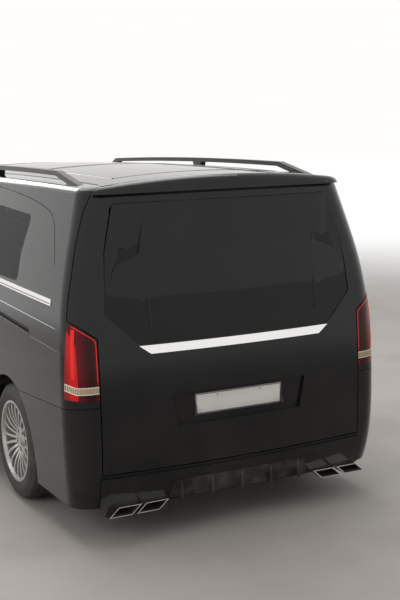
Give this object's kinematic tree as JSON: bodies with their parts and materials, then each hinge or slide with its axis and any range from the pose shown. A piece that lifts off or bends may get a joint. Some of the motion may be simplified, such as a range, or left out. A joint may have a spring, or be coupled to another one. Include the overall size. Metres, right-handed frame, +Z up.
{
  "type": "minivan",
  "caption": "Long gloss-black minivan with roof rails, multi-spoke wheels, dark rear glass, hinged front doors, bonnet and tailgate, and steered front wheels.",
  "frame": {"origin": "on the floor under the middle of the vehicle", "axes": "+X forward, +Y to the vehicle's left, +Z up"},
  "size_m": [5.132, 2.3082, 1.8985],
  "materials": {
    "black_paint": "gloss black paint",
    "black_plastic": "grained black plastic",
    "dark_glass": "privacy glass",
    "clear_glass": "clear laminated glass",
    "lamp_red": "red lamp lens",
    "lamp_clear": "clear lamp lens",
    "bright_trim": "polished",
    "alloy": "silver lacquer",
    "tyre": "rubber",
    "underbody": "dark underbody coating",
    "cast_metal": "cast and machined",
    "steel_pipe": "stainless",
    "seat_fabric": "dark woven cloth",
    "cabin_plastic": "soft grained plastic",
    "plate_white": "blank reflective plate",
    "satin_rail": "dark anodised"
  },
  "bodies": {
    "body": {"belt_trim": "bright_trim", "cowl_panel": "black_plastic", "dashboard": "cabin_plastic", "engine_block": "cast_metal", "exhaust_system": "steel_pipe", "floor_pan": "underbody", "front_bumper": "black_paint", "front_quarter_glass": "dark_glass", "front_seats": "seat_fabric", "front_subframe": "cast_metal", "front_wings": "black_paint", "grille": "black_plastic", "headlamps": "lamp_clear", "intake_grille": "black_plastic", "middle_seats": "seat_fabric", "rear_axle": "cast_metal", "rear_bumper": "black_paint", "rear_seats": "seat_fabric", "rear_side_glass": "dark_glass", "roof_panel": "black_paint", "roof_rails": "satin_rail", "seat_bases": "underbody", "side_frames": "black_paint", "sliding_doors": "black_paint", "steering_wheel": "cabin_plastic", "tail_lamps": "lamp_red", "tailpipes": "bright_trim", "windscreen": "clear_glass"},
    "front_door_left": {"front_door_left": "black_paint", "front_door_glass_left": "dark_glass", "front_door_trim_left": "bright_trim", "door_mirror_left": "black_paint"},
    "front_door_right": {"front_door_right": "black_paint", "front_door_glass_right": "dark_glass", "front_door_trim_right": "bright_trim", "door_mirror_right": "black_paint"},
    "bonnet": {"bonnet": "black_paint"},
    "tailgate": {"tailgate": "black_paint", "tailgate_glass": "dark_glass", "tailgate_trim": "bright_trim", "number_plate": "plate_white"},
    "knuckle_left": {"knuckle_left": "cast_metal"},
    "knuckle_right": {"knuckle_right": "cast_metal"},
    "front_wheel_left": {"front_wheel_left": "alloy", "front_tyre_left": "tyre"},
    "front_wheel_right": {"front_wheel_right": "alloy", "front_tyre_right": "tyre"},
    "rear_wheel_left": {"rear_wheel_left": "alloy", "rear_tyre_left": "tyre"},
    "rear_wheel_right": {"rear_wheel_right": "alloy", "rear_tyre_right": "tyre"}
  },
  "joints": [
    {"name": "steer_left", "type": "hinge", "parent": "body", "child": "knuckle_left", "pos_m": [1.675, 0.775, 0.205], "axis": [0, -0.2619, 0.9651], "range_deg": [-34, 34]},
    {"name": "steer_right", "type": "hinge", "parent": "body", "child": "knuckle_right", "pos_m": [1.675, -0.775, 0.205], "axis": [0, 0.2619, 0.9651], "range_deg": [-34, 34]},
    {"name": "front_wheel_left_spin", "type": "hinge", "parent": "knuckle_left", "child": "front_wheel_left", "pos_m": [1.675, 0.833, 0.339], "axis": [0, 1, 0], "continuous": true},
    {"name": "front_wheel_right_spin", "type": "hinge", "parent": "knuckle_right", "child": "front_wheel_right", "pos_m": [1.675, -0.833, 0.339], "axis": [0, 1, 0], "continuous": true},
    {"name": "rear_wheel_left_spin", "type": "hinge", "parent": "body", "child": "rear_wheel_left", "pos_m": [-1.525, 0.8225, 0.339], "axis": [0, 1, 0], "continuous": true},
    {"name": "rear_wheel_right_spin", "type": "hinge", "parent": "body", "child": "rear_wheel_right", "pos_m": [-1.525, -0.8225, 0.339], "axis": [0, 1, 0], "continuous": true},
    {"name": "front_door_left_hinge", "type": "hinge", "parent": "body", "child": "front_door_left", "pos_m": [1.205, 0.93, 0.7], "axis": [0, 0, 1], "range_deg": [-65, 0]},
    {"name": "front_door_right_hinge", "type": "hinge", "parent": "body", "child": "front_door_right", "pos_m": [1.205, -0.93, 0.7], "axis": [0, 0, 1], "range_deg": [0, 65]},
    {"name": "bonnet_hinge", "type": "hinge", "parent": "body", "child": "bonnet", "pos_m": [1.745, 0, 1.18], "axis": [0, 1, 0], "range_deg": [-48, 0]},
    {"name": "tailgate_hinge", "type": "hinge", "parent": "body", "child": "tailgate", "pos_m": [-2.33, 0, 1.88], "axis": [0, 1, 0], "range_deg": [0, 83]}
  ],
  "couplings": [
    {"joint": "steer_right", "follows": "steer_left", "ratio": 1}
  ]
}
